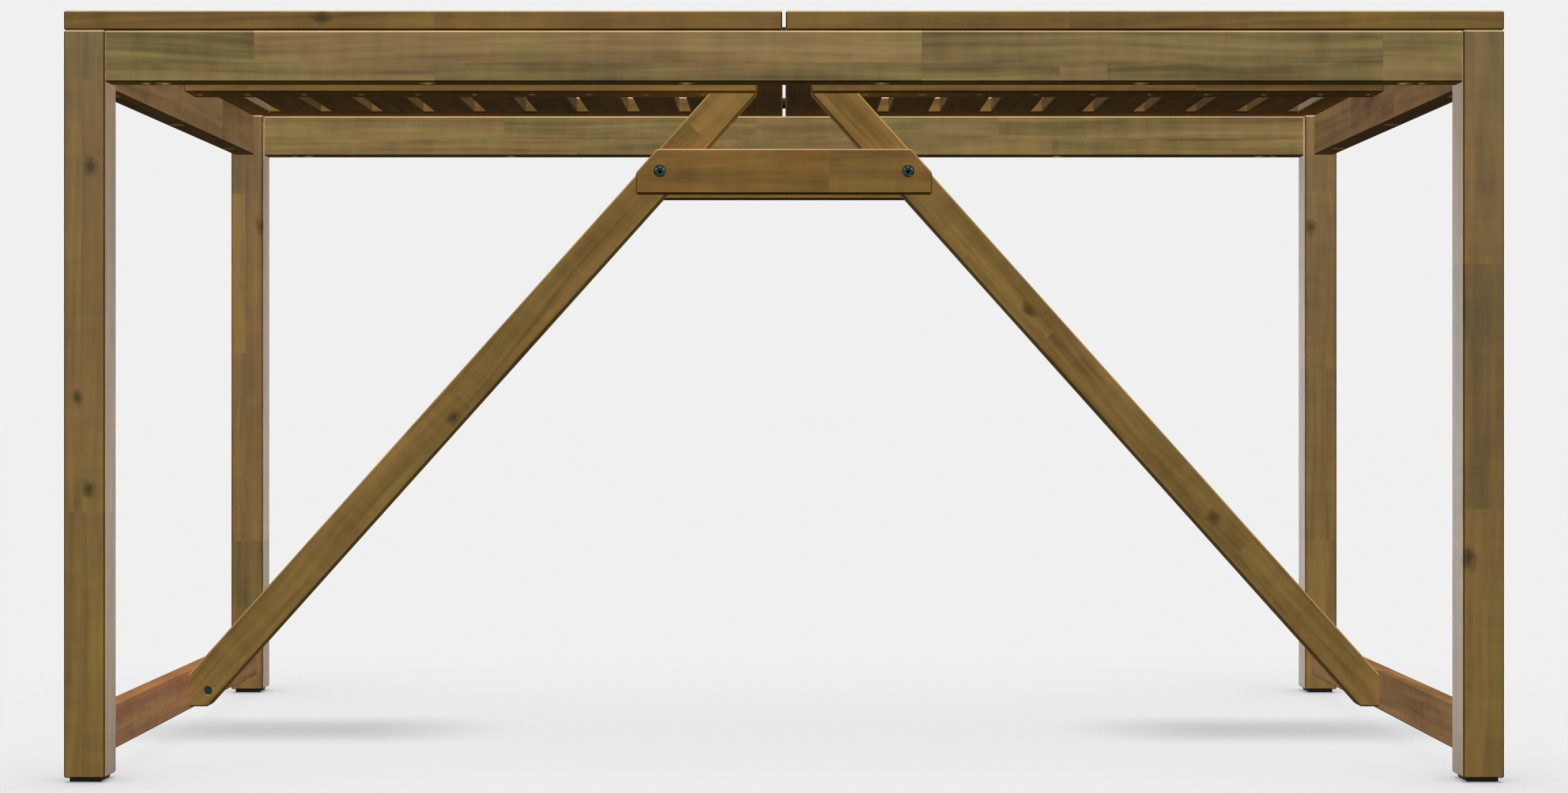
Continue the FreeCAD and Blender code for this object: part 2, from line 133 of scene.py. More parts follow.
def useGroup(tree, group, ins):
    node = tree.nodes.new("ShaderNodeGroup")
    node.node_tree = group
    for key, value in ins.items():
        if isinstance(value, bpy.types.NodeSocket):
            tree.links.new(value, node.inputs[key])
        else:
            node.inputs[key].default_value = value
    return node.outputs


grainLook = {
    "wobble": 0.014,                # metres that the fibres wander across the board
    "wobbleSize": (2.6, 13, 13),    # per metre, along and twice across, as all these sizes are
    "knotBend": 0.006,              # metres that the fibres bend round a knot
    "ringWidth": 0.0065,            # metres from one growth ring to the next
    "heartSide": 0.045,             # metres that the log's heart may lie beside the stave
    "heartLift": (0.010, 0.06),     # metres that it lies above or below
    "heartDrift": 0.05,             # metres that it wanders along the board
    "driftSize": (1.7, 3, 3),
    "streakSize": (4.5, 62, 62),
    "lineSize": (9, 230, 230),
    "fibreSize": (15, 640, 640),
    "fleckSize": (34, 400, 400),
    "poreSize": (60, 1700, 1700),
    "cloudSize": (8, 44, 44),
    "shimmerSize": (62, 14, 14),
    "blushSize": (10, 42, 42),
    "streak": 0.52,                 # how much each one moves the tone
    "line": 0.17,
    "fibre": 0.09,
    "fleck": 0.05,
    "pore": 0.035,
    "cloud": 0.38,
    "shimmer": 0.22,
    "blush": 0.75,                  # how much soft patches move the hue
    "oliveTint": (0.94, 1.04, 0.95, 1),       # hue 0
    "redTint": (1.07, 0.955, 1.01, 1),        # hue 1
    # the knots' stain, also used for the painted shade in bolt counterbores
    "knotAndShadeColor": (0.060, 0.046, 0.012, 1),
    "knotCover": 0.8,
    "endTint": (0.60, 0.55, 0.50, 1),         # sawn ends
    "underShadeTint": (0.95, 0.92, 0.12, 1),       # painted shade on faces that look down
    "shadeTint": (0.42, 0.36, 0.22, 1),        # painted shade on upright eased edges, some top edges, slat sides and stretcher tops
    "highlitColor": (0.66, 0.50, 0.38, 1),       # painted highlight on upper eased edges
    "highlitCover": 0.24,
    "fibreRough": -0.10,            # how much each one moves the roughness
    "poreRough": 0.12,
    "endRough": 0.2,
    "edgeRough": 0.4,
    "underRough": 0.6,
    "poreOil": -0.25,               # how much pores and knots thin the oil film
    "knotOil": 0.6,
    "poreHeight": -0.9,             # against the fibres' height
    "streakHeight": 0.6,
}
staveShift = (31.7, 5.3, 11.9)      # moves the noises from stave to stave, so that their grain differs
liftShuffle = 7.77                  # makes a stave's heart height independent of its side


def buildBoardGrain(look):
    # the board is cut from a log whose heart runs along x: rings are a noise of the distance from
    # the heart, and long thin noises along x stand for streaks, fibres, flecks and pores
    tree, given, put = newGroup("boardGrain", [
        ("Place", "Vector", None), ("Tone", "Float", 0.5), ("Hue", "Float", 0.5),
        ("Stave", "Float", 0.0), ("Knot", "Float", 0.0), ("End Grain", "Float", 0.0),
        ("Painted Shade", "Float", 0.0), ("Underside", "Float", 0.0), ("Highlight Edge", "Float", 0.0),
        ("Light Wood", "Color", (0.48, 0.33, 0.12, 1)),
        ("Dark Wood", "Color", (0.25, 0.17, 0.055, 1)),
        ("Figure", "Float", 0.5), ("Shine", "Float", 0.45), ("Oil", "Float", 0.2),
    ], [("Color", "Color"), ("Roughness", "Float"), ("Height", "Float"), ("Oil Film", "Float")])
    stave, knotAndBoreShade = given["Stave"], given["Knot"]
    away = joinVector(tree, *[calc(tree, "MULTIPLY", stave, step) for step in staveShift])
    place = calcVector(tree, "ADD", given["Place"], away)
    # fibres wander, and bend round knots
    wander = swing(tree, noise(tree, place, 1.0, size=look["wobbleSize"]), look["wobble"] * 2, 0.0)
    bend = calc(tree, "MULTIPLY_ADD", knotAndBoreShade, look["knotBend"], wander)
    bent = calcVector(tree, "ADD", place, joinVector(tree, 0, bend, bend))
    # growth rings round a heart line beside the stave
    parts = splitVector(tree, given["Place"])
    side = remap(tree, stave, 0, 1, -look["heartSide"], look["heartSide"])
    side = calc(tree, "ADD", side, bend)
    lift = calc(tree, "FRACT", calc(tree, "MULTIPLY", stave, liftShuffle))
    lift = calc(tree, "ADD", remap(tree, lift, 0, 1, *look["heartLift"]), bend)
    drift = noise(tree, place, 1.0, 1.0, 0.4, look["driftSize"])
    drift = swing(tree, drift, look["heartDrift"], lift)
    fromHeart = joinVector(tree, 0, calc(tree, "ADD", parts[1], side),
                           calc(tree, "ADD", parts[2], drift))
    radius = calcVector(tree, "LENGTH", fromHeart)
    rings = joinVector(tree, calc(tree, "DIVIDE", radius, look["ringWidth"]), stave, 0)
    ring = remap(tree, noise(tree, rings, 1.0, 1.5, 0.55), 0.3, 0.7)
    streak = spreadNoise(tree, bent, look["streakSize"], 3.0, 0.5, 0.28, 0.72)
    line = spreadNoise(tree, bent, look["lineSize"], 2.0, 0.5, 0.3, 0.7)
    fibre = spreadNoise(tree, bent, look["fibreSize"], 2.0, 0.6, 0.25, 0.75)
    fleck = spreadNoise(tree, bent, look["fleckSize"], 1.0, 0.5, 0.60, 0.72)
    cloud = spreadNoise(tree, place, look["cloudSize"], 2.0, 0.5, 0.3, 0.7)
    blush = spreadNoise(tree, place, look["blushSize"], 2.0, 0.5, 0.3, 0.7)
    shimmer = spreadNoise(tree, place, look["shimmerSize"], 2.0, 0.5, 0.3, 0.7)
    pore = spreadNoise(tree, bent, look["poreSize"], 0.0, 0.5, 0.66, 0.74)
    # tone: 0 is the dark wood, 1 the light
    tone = swing(tree, ring, given["Figure"], given["Tone"])
    tone = swing(tree, streak, look["streak"], tone)
    tone = swing(tree, line, look["line"], tone)
    tone = swing(tree, fibre, look["fibre"], tone)
    tone = swing(tree, cloud, look["cloud"], tone)
    tone = swing(tree, shimmer, look["shimmer"], tone)
    tone = calc(tree, "MULTIPLY_ADD", fleck, -look["fleck"], tone)
    tone = calc(tree, "MULTIPLY_ADD", pore, -look["pore"], tone, clamp=True)
    color = mixColor(tree, tone, given["Dark Wood"], given["Light Wood"])
    # hue: 0 leans to grey olive, 1 to red brown
    hue = swing(tree, blush, look["blush"], given["Hue"], clamp=True)
    tint = mixColor(tree, hue, look["oliveTint"], look["redTint"])
    color = mixColor(tree, 1.0, color, tint, "MULTIPLY")
    # the knots' stain, with the painted shade of bolt counterbores that comes in as a knot
    knotStainAndShade = calc(tree, "MULTIPLY", knotAndBoreShade, look["knotCover"], clamp=True)
    color = mixColor(tree, knotStainAndShade, color, look["knotAndShadeColor"])
    color = tinted(tree, given["End Grain"], color, look["endTint"])
    # painted shade: faces that look down are darkened and lose their blue
    color = tinted(tree, given["Underside"], color, look["underShadeTint"])
    # painted shade on the upright eased edges, top edges, sides and tops that the mask picks
    color = tinted(tree, given["Painted Shade"], color, look["shadeTint"])
    # painted highlight: upper eased edges that face forward or back are paled
    highlit = mixColor(tree, look["highlitCover"], color, look["highlitColor"])
    tree.links.new(mixColor(tree, given["Highlight Edge"], color, highlit), put["Color"])
    rough = swing(tree, fibre, look["fibreRough"], given["Shine"])
    rough = calc(tree, "MULTIPLY_ADD", given["End Grain"], look["endRough"], rough)
    rough = calc(tree, "MULTIPLY_ADD", given["Painted Shade"], look["edgeRough"], rough)
    rough = calc(tree, "MULTIPLY_ADD", given["Underside"], look["underRough"], rough, clamp=True)
    rough = calc(tree, "MULTIPLY_ADD", pore, look["poreRough"], rough)
    tree.links.new(rough, put["Roughness"])
    # the oil film lies on clean faces only
    dry = calc(tree, "ADD", given["Underside"], given["End Grain"])
    dry = calc(tree, "ADD", dry, given["Painted Shade"])
    dry = calc(tree, "MULTIPLY_ADD", knotAndBoreShade, look["knotOil"], dry)
    film = calc(tree, "MULTIPLY_ADD", pore, look["poreOil"], 1.0)
    film = calc(tree, "MULTIPLY", film, given["Oil"])
    film = calc(tree, "MULTIPLY", film, calc(tree, "SUBTRACT", 1.0, dry, clamp=True))
    tree.links.new(film, put["Oil Film"])
    height = calc(tree, "MULTIPLY_ADD", pore, look["poreHeight"], fibre)
    height = calc(tree, "MULTIPLY_ADD", streak, look["streakHeight"], height)
    tree.links.new(height, put["Height"])
    return tree


knotLook = {
    "squash": (0.7, 1, 1),            # a knot is longer along the grain
    "raggedSize": (110, 170, 170),    # per metre
    "ragged": (0.75, 1.25),           # times the size
    "rim": (1.7, 0.1),                # times the size: where the stain starts, and where it is full
}


def buildKnotMark(look):
    # an oval stain: 1 in its middle and 0 past its rim, with a ragged edge
    tree, given, put = newGroup("knotMark", [
        ("Place", "Vector", None), ("Centre", "Vector", None), ("Size", "Float", 0.006),
    ], [("Knot", "Float")])
    gap = calcVector(tree, "SUBTRACT", given["Place"], given["Centre"])
    away = calcVector(tree, "LENGTH", calcVector(tree, "MULTIPLY", gap, look["squash"]))
    ragged = noise(tree, given["Place"], 1.0, size=look["raggedSize"])
    ragged = remap(tree, ragged, 0.3, 0.7, *look["ragged"])
    away = calc(tree, "MULTIPLY", calc(tree, "DIVIDE", away, given["Size"]), ragged)
    tree.links.new(remap(tree, away, *look["rim"], soft=True), put["Knot"])
    return tree


boreLook = {
    "radius": 0.0074,     # metres
    "rim": 1.06,          # times the radius, where the shade ends
    "depth": 1.25,        # how dark the painted shade is, as a knot's strength
}


def buildBoreShade(look):
    # a ball round a bolt's seat, 1 inside and 0 outside, where shade is painted into its counterbore
    tree, given, put = newGroup("boreShade", [
        ("Place", "Vector", None), ("Centre", "Vector", None),
        ("Radius", "Float", look["radius"]),
    ], [("Shade", "Float")])
    away = calcVector(tree, "LENGTH", calcVector(tree, "SUBTRACT", given["Place"], given["Centre"]))
    away = calc(tree, "DIVIDE", away, given["Radius"])
    tree.links.new(remap(tree, away, look["rim"], 1.0), put["Shade"])
    return tree


# each pair is how far a face's direction leans to an axis where the mark is 0 and where it is 1
facesLook = {
    "endGrain": (0.80, 0.95),       # along the grain
    "upright": (0.30, 0.05),        # up
    "side": (0.9, 1.0),             # along the table
    "top": (0.8, 1.0),              # up
    "underside": (-0.3, -0.8),      # up
    "highlightEdge": (0.25, 0.45),       # forward or back, times up
}


def slantMark(tree, first, second):
    # 1 where a face leans halfway between two axes, and 0 where it faces along either
    both = calc(tree, "MULTIPLY", first, second)
    return calc(tree, "MULTIPLY", calc(tree, "MULTIPLY", both, both), 4.0)


def buildBoardFaces(look):
    # tells the sawn ends, eased edges, tops and undersides of a board by which way each points, and
    # picks the faces that get painted shade and the upper edges that get a painted highlight
    tree, given, put = newGroup("boardFaces", [
        ("Facing", "Vector", None), ("Facing Along Grain", "Vector", None),
        ("Shade Top Edges", "Float", 0.0), ("Shade Sides", "Float", 0.0),
        ("Shade Top", "Float", 0.0),
    ], [("End Grain", "Float"), ("Painted Shade", "Float"), ("Underside", "Float"),
        ("Highlight Edge", "Float")])
    along = calc(tree, "ABSOLUTE", splitVector(tree, given["Facing Along Grain"])[0])
    tree.links.new(remap(tree, along, *look["endGrain"], soft=True), put["End Grain"])
    x, y, z = splitVector(tree, given["Facing"])
    upright = calc(tree, "MULTIPLY", slantMark(tree, x, y),
                   remap(tree, z, *look["upright"], soft=True))
    side = calc(tree, "MULTIPLY", remap(tree, calc(tree, "ABSOLUTE", x), *look["side"]),
                given["Shade Sides"])
    top = calc(tree, "MULTIPLY", remap(tree, z, *look["top"]), given["Shade Top"])
    # painted shade: upright eased edges, chosen top edges, sides and tops
    dark = calc(tree, "MULTIPLY_ADD", slantMark(tree, x, z), given["Shade Top Edges"], upright)
    dark = calc(tree, "MAXIMUM", calc(tree, "MAXIMUM", dark, side), top)
    tree.links.new(calc(tree, "MINIMUM", dark, 1.0), put["Painted Shade"])
    tree.links.new(remap(tree, z, *look["underside"], soft=True), put["Underside"])
    lifted = calc(tree, "MULTIPLY", calc(tree, "ABSOLUTE", y), calc(tree, "MAXIMUM", z, 0.0))
    tree.links.new(remap(tree, lifted, *look["highlightEdge"], soft=True), put["Highlight Edge"])
    return tree


boardGrain = buildBoardGrain(grainLook)
knotMark = buildKnotMark(knotLook)
boreShade = buildBoreShade(boreLook)
boardFaces = buildBoardFaces(facesLook)
print("wood groups built")

# each family of boards: its light and dark wood as linear colours, the roughness of the wood
# ("shine"), how strongly its rings show ("figure"), how much oil lies on it and how rough that
# film is ("film"), the wood's own IOR ("gloss"), and how much painted shade its edges and faces get
woodKinds = {
    "leg": {
        "light": (0.455, 0.258, 0.038), "dark": (0.187, 0.103, 0.012),
        "shine": 0.46, "figure": 0.35, "oil": 1.0, "film": 0.55, "gloss": 1.35},
    "brace": {
        "light": (0.48, 0.30, 0.092), "dark": (0.21, 0.128, 0.036),
        "shine": 0.95, "figure": 0.35, "oil": 0.0, "film": 0.6, "gloss": 1.35},
    "apron": {
        "light": (0.55, 0.385, 0.145), "dark": (0.22, 0.15, 0.054),
        "shine": 0.72, "figure": 0.5, "oil": 0.15, "film": 0.5, "gloss": 1.3},
    "endApron": {
        "light": (0.45, 0.275, 0.115), "dark": (0.195, 0.117, 0.048),
        "shine": 0.98, "figure": 0.3, "oil": 0.0, "film": 0.6, "gloss": 1.3,
        "shadeTopEdges": 1.6},
    "edge": {
        "light": (0.43, 0.25, 0.058), "dark": (0.175, 0.10, 0.022),
        "shine": 0.64, "figure": 0.4, "oil": 0.25, "film": 0.45, "gloss": 1.22},
    "slat": {
        "light": (0.42, 0.265, 0.07), "dark": (0.17, 0.105, 0.025),
        "shine": 0.70, "figure": 0.4, "oil": 0.08, "film": 0.45, "gloss": 1.2,
        "shadeSides": 0.8, "shadeTopEdges": 0.8},
    "link": {
        "light": (0.44, 0.255, 0.062), "dark": (0.185, 0.107, 0.026),
        "shine": 0.80, "figure": 0.4, "oil": 0.1, "film": 0.5, "gloss": 1.3},
    "stretcher": {
        "light": (0.54, 0.29, 0.125), "dark": (0.23, 0.12, 0.055),
        "shine": 0.98, "figure": 0.4, "oil": 0.0, "film": 0.6, "gloss": 1.3,
        "shadeTopEdges": 1.3, "shadeTop": 0.85},
}
filmIor = 2.0
grainBump = {"Strength": 0.22, "Distance": 0.0002}    # the distance is in metres

grainTurn = {"x": (0, 0, 0), "y": (0, 0, -90), "z": (0, 90, 0)}    # degrees that lay the grain along x
braceLean = 48.15      # degrees

# (start of the node's name, grain, family); the first that fits is used
boardKinds = (
    ("leg_", "z", "leg"), ("apron_left", "y", "endApron"), ("apron_right", "y", "endApron"),
    ("apron_front", "x", "apron"), ("apron_rear", "x", "apron"),
    ("brace_left", (0, braceLean, 0), "brace"), ("brace_right", (0, -braceLean, 0), "brace"),
    ("link_board", "x", "link"), ("stretcher", "y", "stretcher"),
    ("batten_left", "x", "edge"), ("batten_right", "x", "edge"),
    ("top_left_edge", "x", "edge"), ("top_right_edge", "x", "edge"),
    ("top_left_end", "y", "edge"), ("top_right_end", "y", "edge"),
    ("slat_left_", "y", "slat"), ("slat_right_", "y", "slat"),
)

wholeBoard = 9         # metres, past any board's far side
# staves, knots and bores that are listed one by one, in rows that split a board across its third
# axis. A row is (its upper limit, its staves), and a stave is (where it starts along the board,
# tone, hue), in metres from the board's low end and middle. A knot is (its place on the table,
# its size), and a bore is the place of a bolt's seat on the table.
handLaid = {
    "apron_front": {"rows": [
        (-0.0063, [(0.0, 0.50, 0.42), (0.317, 0.43, 0.45), (0.789, 0.38, 0.35),
                   (0.924, 0.50, 0.75), (0.972, 0.38, 0.25), (1.2406, 0.52, 0.50)]),
        (wholeBoard, [(0.0, 0.27, 0.10), (0.1415, 0.62, 0.72), (0.789, 0.38, 0.35),
                      (1.2406, 0.60, 0.50)])]},
    "apron_rear": {"rows": [
        (-0.004, [(0.0, 0.52, 0.40), (0.397, 0.45, 0.35), (0.56, 0.55, 0.5), (1.0, 0.42, 0.3)]),
        (wholeBoard, [(0.0, 0.56, 0.45), (0.30, 0.48, 0.35), (0.62, 0.50, 0.4),
                      (0.93, 0.6, 0.45)])]},
    "leg_front_left": {"rows": [
        (0.0025, [(0.0, 0.60, 0.25), (0.256, 0.62, 0.55), (0.678, 0.47, 0.2)]),
        (wholeBoard, [(0.0, 0.50, 0.55), (0.256, 0.60, 0.55)])],
        "knots": [((-0.6740, -0.375, 0.5985), 0.0055), ((-0.6865, -0.375, 0.3740), 0.0045),
                  ((-0.6755, -0.375, 0.2850), 0.0050)]},
    "leg_front_right": {"rows": [
        (wholeBoard, [(0.0, 0.60, 0.45), (0.2595, 0.36, 0.35), (0.497, 0.62, 0.45)])],
        "knots": [((0.6649, -0.375, 0.2189), 0.0065)]},
    "leg_rear_left": {"rows": [
        (0.002, [(0.0, 0.50, 0.5), (0.10, 0.34, 0.0), (0.186, 0.56, 0.6)]),
        (wholeBoard, [(0.0, 0.50, 0.5), (0.10, 0.34, 0.0), (0.186, 0.56, 0.65),
                      (0.423, 0.92, 0.45), (0.625, 0.50, 0.6)])],
        "knots": [((-0.6618, 0.335, 0.5912), 0.0060)]},
    "leg_rear_right": {"rows": [
        (-0.006, [(0.0, 0.62, 0.35), (0.186, 0.46, 0.4), (0.403, 0.55, 0.5), (0.629, 0.45, 0.6)]),
        (wholeBoard, [(0.0, 0.80, 0.45), (0.186, 0.46, 0.4), (0.403, 0.58, 0.5),
                      (0.629, 0.45, 0.6)])],
        "knots": [((0.6669, 0.335, 0.5895), 0.0060)]},
    "brace_left": {"rows": [
        (-0.004, [(0.0, 0.50, 0.45), (0.30, 0.44, 0.4), (0.66, 0.52, 0.4)]),
        (wholeBoard, [(0.0, 0.56, 0.5), (0.46, 0.62, 0.55), (0.80, 0.5, 0.45),
                      (0.86, 0.75, 0.5)])],
        "knots": [((-0.3711, -0.0125, 0.3512), 0.0055)]},
    "brace_right": {"rows": [
        (0.003, [(0.0, 0.50, 0.45), (0.25, 0.44, 0.3), (0.52, 0.55, 0.55)]),
        (wholeBoard, [(0.0, 0.58, 0.5), (0.38, 0.5, 0.45), (0.7, 0.60, 0.5)])],
        "knots": [((0.2743, -0.0125, 0.4721), 0.0055), ((0.4822, -0.0125, 0.2393), 0.0055)]},
    "stretcher_left": {"rows": [(wholeBoard, [(0.0, 0.72, 0.80), (0.42, 0.55, 0.5)])]},
    "stretcher_right": {"rows": [(wholeBoard, [(0.0, 0.55, 0.20), (0.33, 0.70, 0.4)])]},
    "link_board_front": {"rows": [
        (wholeBoard, [(0.0, 0.55, 0.70), (0.215, 0.52, 0.45)])],
        "bores": [(-0.1384, -0.0265, 0.626), (0.1384, -0.0265, 0.626)]},
    "top_left_edge_front": {"rows": [
        (wholeBoard, [(0.0, 0.55, 0.60), (0.36, 0.60, 0.55)])],
        "knots": [((-0.4496, -0.375, 0.7438), 0.0060)]},
}

randomStaves = {
    "split": 0.3,              # share of the board's spread, either side of its middle
    "tone": (0.38, 0.62),
    "hue": (0.3, 0.7),
    "length": (0.18, 0.5),     # metres
}


def randomRows(name, length, spread, values):
    # the other boards get two rows of staves
    dice = random.Random(name)
    rows = []
    for top in (dice.uniform(-values["split"], values["split"]) * spread, wholeBoard):
        start, staves = 0.0, []
        while start < length:
            staves.append((start, dice.uniform(*values["tone"]), dice.uniform(*values["hue"])))
            start += dice.uniform(*values["length"])
        rows.append((top, staves))
    return rows


def staveRamp(tree, along, length, staves, dice):
    # the ramp's colour is (tone, hue, stave number) and steps at each joint
    node = addNode(tree, "ValToRGB", (calc(tree, "DIVIDE", along, length, clamp=True),))
    ramp = node.color_ramp
    ramp.interpolation = "CONSTANT"
    while len(ramp.elements) < len(staves):
        ramp.elements.new(0.5)
    for element, (start, tone, hue) in zip(ramp.elements, staves):
        element.position = start / length
        element.color = (tone, hue, dice.random(), 1)
    return node.outputs["Color"]


def boardFrame(name, turn):
    # the turn and move that lay the board along x, with its low end at 0 and its middle on the axis
    low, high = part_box(name)
    corners = np.array([[x, y, z] for x in (low[0], high[0])
                        for y in (low[1], high[1]) for z in (low[2], high[2])])
    matrix = Euler(turn).to_matrix()
    laid = corners @ np.array(matrix).T
    bottom, top = laid.min(axis=0), laid.max(axis=0)
    move = Vector((-bottom[0], -(bottom[1] + top[1]) / 2, -(bottom[2] + top[2]) / 2))
    return matrix, move, float(top[0] - bottom[0]), float(top[2] - bottom[2])


def boardMaterial(name, grain, kind, rows=None, knots=(), bores=()):
    turn = [math.radians(degrees) for degrees in grainTurn.get(grain, grain)]
    matrix, move, length, spread = boardFrame(name, turn)
    look = woodKinds[kind]
    material = bpy.data.materials.new(name + "Wood")
    material.use_nodes = True
    tree = material.node_tree
    shader = tree.nodes["Principled BSDF"]
    spot = addNode(tree, "TexCoord").outputs
    place = addNode(tree, "Mapping", {
        "Vector": spot["Object"], "Location": move, "Rotation": turn}).outputs[0]
    facing = addNode(tree, "Mapping", {
        "Vector": spot["Normal"], "Rotation": turn}, vector_type="NORMAL").outputs[0]
    faces = useGroup(tree, boardFaces, {
        "Facing": spot["Normal"], "Facing Along Grain": facing,
        "Shade Top Edges": look.get("shadeTopEdges", 0.0),
        "Shade Sides": look.get("shadeSides", 0.0), "Shade Top": look.get("shadeTop", 0.0)})
    parts = splitVector(tree, place)
    across = parts[2 if rows else 1]
    dice = random.Random(name + "staves")
    chosen = None
    for top, staves in reversed(rows or randomRows(name, length, spread, randomStaves)):
        ramp = staveRamp(tree, parts[0], length, staves, dice)
        if chosen is None:
            chosen = ramp
        else:
            chosen = mixColor(tree, calc(tree, "LESS_THAN", across, top), chosen, ramp)
    stave = addNode(tree, "SeparateColor", (chosen,)).outputs
    knotAndBoreShade = 0.0
    for centre, size in knots:
        centre = matrix @ Vector(centre) + move
        mark = useGroup(tree, knotMark, {"Place": place, "Centre": centre, "Size": size})
        knotAndBoreShade = calc(tree, "MAXIMUM", knotAndBoreShade, mark["Knot"])
    # painted shade round each bolt's seat, passed on as a knot
    for centre in bores:
        centre = matrix @ Vector(centre) + move
        shade = useGroup(tree, boreShade, {"Place": place, "Centre": centre})
        knotAndBoreShade = calc(tree, "MAXIMUM", knotAndBoreShade,
                    calc(tree, "MULTIPLY", shade["Shade"], boreLook["depth"]))
    grainOut = useGroup(tree, boardGrain, {
        "Place": place, "Tone": stave[0], "Hue": stave[1], "Stave": stave[2], "Knot": knotAndBoreShade,
        "End Grain": faces["End Grain"], "Painted Shade": faces["Painted Shade"],
        "Underside": faces["Underside"], "Highlight Edge": faces["Highlight Edge"],
        "Light Wood": (*look["light"], 1), "Dark Wood": (*look["dark"], 1),
        "Figure": look["figure"], "Shine": look["shine"], "Oil": look["oil"]})
    tree.links.new(grainOut["Color"], shader.inputs["Base Color"])
    tree.links.new(grainOut["Roughness"], shader.inputs["Roughness"])
    tree.links.new(grainOut["Oil Film"], shader.inputs["Coat Weight"])
    bump = addNode(tree, "Bump", {"Height": grainOut["Height"], **grainBump})
    tree.links.new(bump.outputs[0], shader.inputs["Normal"])
    shader.inputs["Coat Roughness"].default_value = look["film"]
    shader.inputs["Coat IOR"].default_value = filmIor
    shader.inputs["IOR"].default_value = look["gloss"]
    return material


def dress(name, material):
    for slot in cadNodes[name].material_slots:
        slot.material = material


woodenNames = []
for name in cadNodes:
    for begins, grain, kind in boardKinds:
        if name.startswith(begins):
            dress(name, boardMaterial(name, grain, kind, **handLaid.get(name, {})))
            woodenNames.append(name)
            break
print("boards dressed:", len(woodenNames))

# the metals, plastic and dowels: linear colour, roughness, metallic, how many specks to a metre,
# how much they move the roughness, and their height in metres
plainLooks = {
    "zincSteel": {"color": (0.065, 0.145, 0.16), "roughness": 0.40, "metallic": 1.0,
                  "specks": 900.0, "spread": 0.12, "bump": 0.00005},
    "boltZinc": {"color": (0.065, 0.145, 0.16), "roughness": 0.40, "metallic": 1.0,
                 "specks": 900.0, "spread": 0.12, "bump": 0.00005,
                 "keyHoleShadeBottom": -0.0292},    # metres along Y, past which the key hole is painted dark as shade
    "yellowZinc": {"color": (0.20, 0.125, 0.035), "roughness": 0.5, "metallic": 1.0,
                   "specks": 900.0, "spread": 0.12, "bump": 0.00005},
    "blackPlastic": {"color": (0.0012, 0.0018, 0.0022), "roughness": 0.85, "metallic": 0.0,
                     "specks": 2200.0, "spread": 0.15, "bump": 0.00006},
    "beechDowel": {"color": (0.55, 0.38, 0.20), "roughness": 0.6, "metallic": 0.0,
                   "specks": 500.0, "spread": 0.12, "bump": 0.00005},
}
palerShare = 1.4                # the light patches' colour against the dark ones'
patchesToSpecks = 12            # how much wider the patches are than the specks
keyHoleShade = {"color": (0.004, 0.008, 0.008, 1), "fade": 0.0004}    # painted shade in key holes; the fade is in metres
speckStrength = 0.5


def plainMaterial(name, look):
    material = bpy.data.materials.new(name)
    material.use_nodes = True
    tree = material.node_tree
    shader = tree.nodes["Principled BSDF"]
    spot = addNode(tree, "TexCoord").outputs["Object"]
    speck = noise(tree, spot, look["specks"], 3.0, 0.6)
    cloud = noise(tree, spot, look["specks"] / patchesToSpecks)
    paler = [min(1.0, channel * palerShare) for channel in look["color"]]
    tint = mixColor(tree, cloud, (*look["color"], 1), (*paler, 1))
    if "keyHoleShadeBottom" in look:     # painted shade: the key holes of heads that face the front are painted dark
        bottom = look["keyHoleShadeBottom"]
        deep = remap(tree, splitVector(tree, spot)[1], bottom, bottom + keyHoleShade["fade"])
        tint = mixColor(tree, deep, tint, keyHoleShade["color"])
    tree.links.new(tint, shader.inputs["Base Color"])
    rough = calc(tree, "MULTIPLY_ADD", speck, look["spread"], look["roughness"] - look["spread"] / 2)
    tree.links.new(rough, shader.inputs["Roughness"])
    bump = addNode(tree, "Bump", {
        "Height": speck, "Strength": speckStrength, "Distance": look["bump"]})
    tree.links.new(bump.outputs[0], shader.inputs["Normal"])
    shader.inputs["Metallic"].default_value = look["metallic"]
    return material


def plainKind(name):
    if "dowels" in name:
        return "beechDowel"
    if "pad" in name or "spacers" in name:
        return "blackPlastic"
    if "screws" in name or "apron" in name:
        return "yellowZinc"
    return "boltZinc" if name == "link_bolts" else "zincSteel"


plainMaterials = {name: plainMaterial(name, look) for name, look in plainLooks.items()}
for name in cadNodes:
    if name not in woodenNames:
        dress(name, plainMaterials[plainKind(name)])
print("steel, plastic and dowels dressed")

surroundings = {        # the camera sees one flat pale grey, and everything else a dim dome
    "seen": (0.8714, 0.8714, 0.8714, 1),
    "above": 0.05,
    "below": 0.01,
    "rise": (-0.3, 0.6),    # where the dome starts to brighten, and where it ends
}


def makeSurroundings(values):
    world = bpy.data.worlds.new("studio")
    scene.world = world
    world.use_nodes = True
    tree = world.node_tree
    way = splitVector(tree, addNode(tree, "TexCoord").outputs["Generated"])
    level = remap(tree, way[2], *values["rise"], values["below"], values["above"], soft=True)
    isCamera = addNode(tree, "LightPath").outputs["Is Camera Ray"]
    seen = mixColor(tree, isCamera, level, values["seen"])
    tree.links.new(seen, tree.nodes["Background"].inputs["Color"])


floorLook = {
    "size": 60.0,              # metres
    "below": 0.0004,           # metres under the feet
    "albedo": 0.005,           # so dark that the object's lights don't show on it
    "brightness": 0.864,       # what its own two suns bring it up to
    "shadowShare": 0.62,       # the share of that which throws shadows
    "softness": 56,            # degrees
    "bounce": (0.03, 0.022, 0.012, 1),    # what the object gets back from it
}


